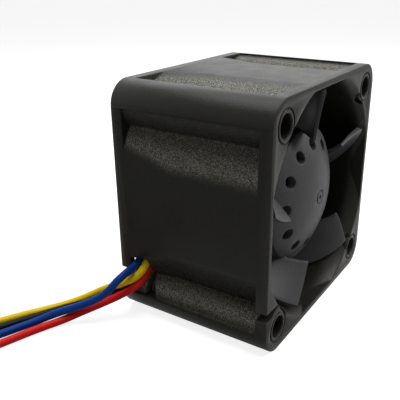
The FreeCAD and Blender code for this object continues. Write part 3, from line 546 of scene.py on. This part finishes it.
class FAN_OT_finish_motor(bpy.types.Operator):
    """Give the bearings, the motor and its board their metals and resins"""

    bl_idname = "server_fan.finish_motor"
    bl_label = "Finish Motor"

    def execute(self, context):
        finishes = {
            metal_material("Turned Brass", (0.72, 0.5, 0.22), 0.32, 900): (
                "bearing_tube", "shaft_bushing"),
            metal_material("Ground Steel", (0.6, 0.6, 0.61), 0.22, 1200): (
                "front_bearing_outer_ring", "front_bearing_inner_ring", "front_bearing_balls",
                "rear_bearing_outer_ring", "rear_bearing_inner_ring", "rear_bearing_balls",
                "shaft", "retaining_ring", "preload_washer"),
            metal_material("Drawn Steel", (0.36, 0.36, 0.38), 0.36, 700): ("rotor_yoke",),
            metal_material("Tinned Metal", (0.66, 0.65, 0.6), 0.38, 500): (
                "solder_posts", "connector_contacts"),
            plain_material("Bonded Magnet", (0.05, 0.047, 0.045), 0.62): ("magnet_ring",),
            plain_material("Laminated Core", (0.09, 0.1, 0.11), 0.5): ("stator_core",),
            plain_material("Insulator Plastic", (0.66, 0.64, 0.56), 0.45): (
                "front_insulator", "rear_insulator"),
            plain_material("Enamelled Winding", (0.4, 0.13, 0.035), 0.3): ("stator_coils",),
            plain_material("Board Mask", (0.02, 0.12, 0.04), 0.3): ("circuit_board",),
            plain_material("Chip Resin", (0.02, 0.02, 0.02), 0.5): ("driver_chip", "hall_sensor"),
            plain_material("Capacitor Body", (0.3, 0.2, 0.11), 0.4): ("capacitor",),
        }
        for material, names in finishes.items():
            for name in names:
                set_material(NODES[name], material)
        return {"FINISHED"}


class FAN_OT_lay_leads(bpy.types.Operator):
    """Run the four leads from the board out to the connector"""

    bl_idname = "server_fan.lay_leads"
    bl_label = "Lay Leads"

    def execute(self, context):
        settings = context.scene.fan_leads
        for colour, route in LEAD_ROUTES.items():
            curve = bpy.data.curves.new(f"{colour}_lead", "CURVE")
            curve.dimensions = "3D"
            spline = curve.splines.new("NURBS")
            spline.points.add(len(route) - 1)
            for point, place in zip(spline.points, route):
                point.co = (*place, 1.0)
            spline.order_u = 3
            spline.use_endpoint_u = True
            curve.resolution_u = 12
            curve.bevel_depth = settings.diameter / 2
            curve.bevel_resolution = 5
            curve.use_fill_caps = True
            lead = bpy.data.objects.new(f"{colour}_lead", curve)
            context.scene.collection.objects.link(lead)
            insulation = lead_material(f"{colour.title()} Insulation", getattr(settings, colour))
            set_material(lead, insulation)
            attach(lead, "frame")
            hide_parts(f"lead_{colour}")
        return {"FINISHED"}


class FAN_OT_finish_connector(bpy.types.Operator):
    """Give the connector on the leads its natural plastic"""

    bl_idname = "server_fan.finish_connector"
    bl_label = "Finish Connector"

    def execute(self, context):
        body = rounded_copy("connector_housing", "frame",
                            CONNECTOR_EDGE_WIDTH)
        set_material(body, plain_material("Connector Plastic", (0.62, 0.6, 0.52), 0.4))
        return {"FINISHED"}


class FAN_OT_set_stage(bpy.types.Operator):
    """Add the floor, the soft lamps and the camera"""

    bl_idname = "server_fan.set_stage"
    bl_label = "Set Stage"

    def execute(self, context):
        settings = context.scene.fan_stage
        self.add_floor(settings)
        for name, (power, size, place, colour) in LAMPS.items():
            self.add_lamp(context, name, getattr(settings, power), size, place, colour)
        self.light_world(context, settings)
        self.add_camera(context, settings)
        context.scene.view_settings.view_transform = "Standard"
        return {"FINISHED"}

    def add_floor(self, settings):
        deselect_all()
        bpy.ops.mesh.primitive_plane_add(size=FLOOR_SIZE, location=(0, 0, 0))
        floor = bpy.context.object
        floor.name = "floor"
        material, tree, shader, _place = new_material(
            "Floor", settings.floor_colour, roughness=0.9, specular=0.1)
        glow = arithmetic(tree, "MULTIPLY", seen_directly(tree, FLOOR_GLOW_IN_GLOSS), FLOOR_GLOW)
        bright = add_node(tree, "ShaderNodeEmission", Color=(1, 1, 1, 1), Strength=glow)
        shown = tree.nodes.new("ShaderNodeAddShader")
        tree.links.new(shader.outputs[0], shown.inputs[0])
        tree.links.new(bright.outputs[0], shown.inputs[1])
        tree.links.new(shown.outputs[0], tree.nodes["Material Output"].inputs["Surface"])
        set_material(floor, material)

    def add_lamp(self, context, name, power, size, place, colour):
        lamp = bpy.data.lights.new(name, "AREA")
        lamp.energy = power
        lamp.color = colour
        lamp.shape = "DISK"
        lamp.size = size
        holder = bpy.data.objects.new(name, lamp)
        context.scene.collection.objects.link(holder)
        aim = Vector((0, 0, FAN_AXIS_HEIGHT)) - Vector(place)
        holder.location = place
        holder.rotation_euler = aim.to_track_quat("-Z", "Y").to_euler()

    def light_world(self, context, settings):
        world = bpy.data.worlds.new("Studio")
        world.use_nodes = True
        context.scene.world = world
        tree = world.node_tree
        room = tree.nodes["Background"]
        room.inputs["Color"].default_value = (1, 1, 1, 1)
        room.inputs["Strength"].default_value = settings.room_light
        seen = add_node(tree, "ShaderNodeBackground", Color=(1, 1, 1, 1), Strength=1.0)
        chosen = add_node(tree, "ShaderNodeMixShader", i0=seen_directly(tree))
        tree.links.new(room.outputs[0], chosen.inputs[1])
        tree.links.new(seen.outputs[0], chosen.inputs[2])
        tree.links.new(chosen.outputs[0], tree.nodes["World Output"].inputs["Surface"])

    def add_camera(self, context, settings):
        back = Vector((math.sin(CAMERA_TURN) * math.cos(CAMERA_RISE),
                       -math.cos(CAMERA_TURN) * math.cos(CAMERA_RISE), math.sin(CAMERA_RISE)))
        right = (-back).cross(Vector((0, 0, 1))).normalized()
        up = right.cross(-back)
        level_right = right * math.cos(CAMERA_ROLL) + up * math.sin(CAMERA_ROLL)
        level_up = up * math.cos(CAMERA_ROLL) - right * math.sin(CAMERA_ROLL)
        lens = bpy.data.cameras.new("camera")
        lens.sensor_width = SENSOR_WIDTH
        lens.lens = LENS_LENGTH
        lens.shift_x, lens.shift_y = LENS_SHIFT
        lens.clip_start = NEAREST_SEEN
        camera = bpy.data.objects.new("camera", lens)
        context.scene.collection.objects.link(camera)
        pose = Matrix((level_right, level_up, back)).transposed().to_4x4()
        pose.translation = CAMERA_TARGET + back * settings.camera_distance
        camera.matrix_world = pose
        context.scene.camera = camera


class FAN_PT_looks(bpy.types.Panel):
    """Finishes, leads and stage of the server fan"""

    bl_idname = "FAN_PT_looks"
    bl_label = "Server Fan"
    bl_space_type = "VIEW_3D"
    bl_region_type = "UI"
    bl_category = "Server Fan"

    def draw(self, context):
        for heading, settings, operators in PANEL_ROWS:
            box = self.layout.box()
            box.label(text=heading)
            group = getattr(context.scene, settings)
            for name in group.bl_rna.properties.keys():
                if name not in ("rna_type", "name"):
                    box.prop(group, name)
            for operator in operators:
                box.operator(operator.bl_idname)


SETTINGS = {
    "fan_plastic": FanPlasticSettings,
    "fan_leads": FanLeadSettings,
    "fan_stage": FanStageSettings,
}
PANEL_ROWS = (
    ("Plastics and metals", "fan_plastic", (FAN_OT_finish_mouldings, FAN_OT_finish_motor)),
    ("Leads", "fan_leads", (FAN_OT_lay_leads, FAN_OT_finish_connector)),
    ("Stage", "fan_stage", (FAN_OT_set_stage,)),
)
CLASSES = (
    *SETTINGS.values(),
    FAN_OT_finish_mouldings,
    FAN_OT_finish_motor,
    FAN_OT_lay_leads,
    FAN_OT_finish_connector,
    FAN_OT_set_stage,
    FAN_PT_looks,
)


def register():
    for cls in CLASSES:
        bpy.utils.register_class(cls)
    for name, settings in SETTINGS.items():
        setattr(bpy.types.Scene, name, PointerProperty(type=settings))


def unregister():
    for name in SETTINGS:
        delattr(bpy.types.Scene, name)
    for cls in reversed(CLASSES):
        bpy.utils.unregister_class(cls)


def main():
    register()
    bpy.ops.server_fan.set_stage()
    bpy.ops.server_fan.finish_connector()
    bpy.ops.server_fan.lay_leads()
    bpy.ops.server_fan.finish_mouldings()
    bpy.ops.server_fan.finish_motor()


if __name__ == "__main__":
    main()
